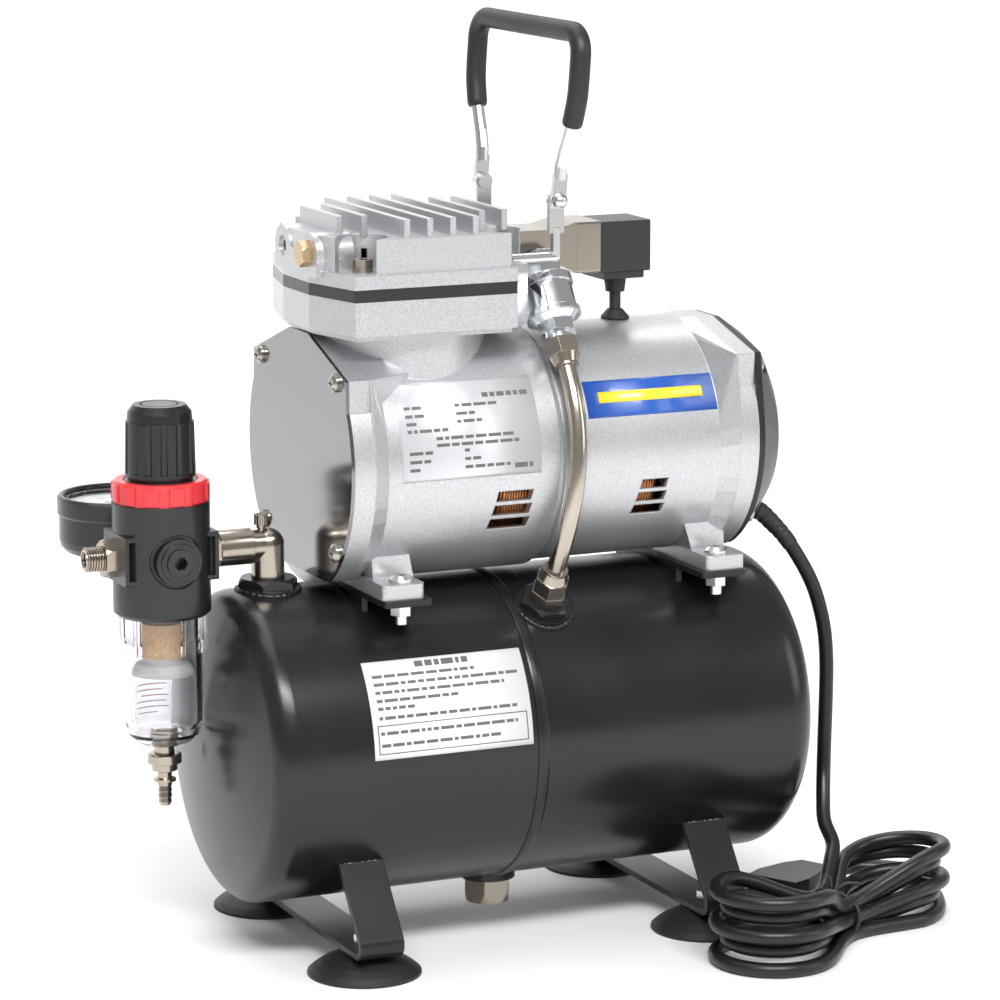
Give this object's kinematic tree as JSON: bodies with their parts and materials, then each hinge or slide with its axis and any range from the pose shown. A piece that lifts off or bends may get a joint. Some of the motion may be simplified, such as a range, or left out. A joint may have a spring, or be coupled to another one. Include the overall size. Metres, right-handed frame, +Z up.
{
  "type": "airbrush compressor",
  "caption": "Oil-less piston air compressor on a small horizontal air tank, with a filter regulator, gauge, pressure switch, folding handle and mains cord.",
  "frame": {"origin": "on the floor under the middle of the compressor, its cord and plug left out", "axes": "+Z up, +X along the tank towards the fan end, -Y towards the side with the vents, labels and outlet plug that faces the user"},
  "size_m": [0.3689, 0.2134, 0.3821],
  "materials": {
    "tank_paint": "gloss",
    "bracket_paint": "satin",
    "rubber_black": "matte",
    "rubber_cord": "satin",
    "zinc_steel": "zinc plated",
    "cast_paint": "hammered silver",
    "mirror_plate": "polished",
    "fan_paint": "satin",
    "stator_steel": "laminated",
    "copper": "enamelled copper wire",
    "machined_steel": "ground",
    "dark_plastic": "fine texture",
    "rod_alloy": "as cast",
    "seal_ptfe": "smooth",
    "liner_alloy": "anodised",
    "valve_black": "satin",
    "screw_steel": "nickel plated",
    "brass": "turned",
    "nickel": "satin nickel",
    "chrome": "bright",
    "hose_metal": "nickel plated braid",
    "rocker_plastic": "two-tone",
    "regulator_black": "textured",
    "ring_red": "satin",
    "knob_black": "fine texture",
    "gauge_black": "satin",
    "lens_clear": "clear",
    "bowl_clear": "clear polycarbonate",
    "sintered": "sintered bronze",
    "white_plastic": "smooth"
  },
  "bodies": {
    "frame": {"tank_shell_left": "tank_paint", "tank_shell_right": "tank_paint", "tank_bungs": "tank_paint", "drain_plug": "nickel", "leg_brackets": "bracket_paint", "suction_feet": "rubber_black", "foot_studs": "zinc_steel", "motor_saddles": "bracket_paint", "mount_fasteners": "zinc_steel", "crankcase": "cast_paint", "motor_housing": "cast_paint", "end_plate": "mirror_plate", "casing_screws": "zinc_steel", "fan_cover": "fan_paint", "stator": "stator_steel", "windings": "copper", "bearings": "machined_steel", "cylinder_liner": "liner_alloy", "valve_plate": "valve_black", "cylinder_head": "cast_paint", "head_screws": "screw_steel", "head_port_plug": "brass", "handle_brackets": "zinc_steel", "handle_rivets": "zinc_steel", "switch_block": "nickel", "switch_flange": "nickel", "switch_case": "dark_plastic", "switch_lead": "rubber_black", "cable_grommets": "rubber_black", "check_valve": "chrome", "hose_nuts": "nickel", "air_hose": "hose_metal", "port_elbow": "nickel", "port_coupling": "nickel", "regulator_body": "regulator_black", "bonnet_ring": "ring_red", "outlet_nipple": "nickel", "front_port_plug": "valve_black", "gauge_case": "gauge_black", "gauge_lens": "lens_clear", "filter_bowl": "bowl_clear", "filter_element": "sintered", "baffle_disc": "white_plastic", "cord_run": "rubber_cord", "cord_hank": "rubber_cord", "power_plug": "rubber_cord"},
    "crank": {"rotor": "machined_steel", "shaft": "machined_steel", "crank_web": "machined_steel", "fan": "dark_plastic"},
    "piston": {"piston_rod": "rod_alloy", "piston_seal": "seal_ptfe"},
    "handle": {"handle_bar": "zinc_steel", "handle_grip": "rubber_black"},
    "rocker": {"switch_rocker": "rocker_plastic"},
    "bleed": {"bleed_screw": "screw_steel"},
    "adjuster": {"adjusting_screw": "nickel"},
    "knob": {"regulator_knob": "knob_black"},
    "needle": {"gauge_needle": "dark_plastic"},
    "drain": {"bowl_drain": "nickel"}
  },
  "joints": [
    {"name": "crank_spin", "type": "hinge", "parent": "frame", "child": "crank", "pos_m": [0, 0, 0.204], "axis": [1, 0, 0], "continuous": true},
    {"name": "piston_slide", "type": "slide", "parent": "frame", "child": "piston", "axis": [0, 0, 1], "range_m": [-0.012, 0]},
    {"name": "handle_fold", "type": "hinge", "parent": "frame", "child": "handle", "pos_m": [0.035, 0, 0.3095], "axis": [0, 1, 0], "range_deg": [-93, 80]},
    {"name": "rocker_press", "type": "hinge", "parent": "frame", "child": "rocker", "pos_m": [0.0886, 0, 0.287], "axis": [0, 1, 0], "range_deg": [-8, 8]},
    {"name": "bleed_turn", "type": "hinge", "parent": "frame", "child": "bleed", "pos_m": [-0.0808, 0, 0.175], "axis": [0, 0, 1], "continuous": true},
    {"name": "adjuster_turn", "type": "hinge", "parent": "frame", "child": "adjuster", "pos_m": [-0.124, 0, 0.2], "axis": [0, 0, 1], "range_deg": [-1080, 1080]},
    {"name": "knob_pull", "type": "slide", "parent": "adjuster", "child": "knob", "axis": [0, 0, 1], "range_m": [0, 0.003]},
    {"name": "needle_swing", "type": "hinge", "parent": "frame", "child": "needle", "pos_m": [-0.124, 0.0518, 0.179], "axis": [0, 0, -1], "range_deg": [0, 270]},
    {"name": "drain_push", "type": "slide", "parent": "frame", "child": "drain", "axis": [0, 0, 1], "range_m": [0, 0.003], "stiffness_N_per_m": 300, "springref_m": -0.003}
  ]
}
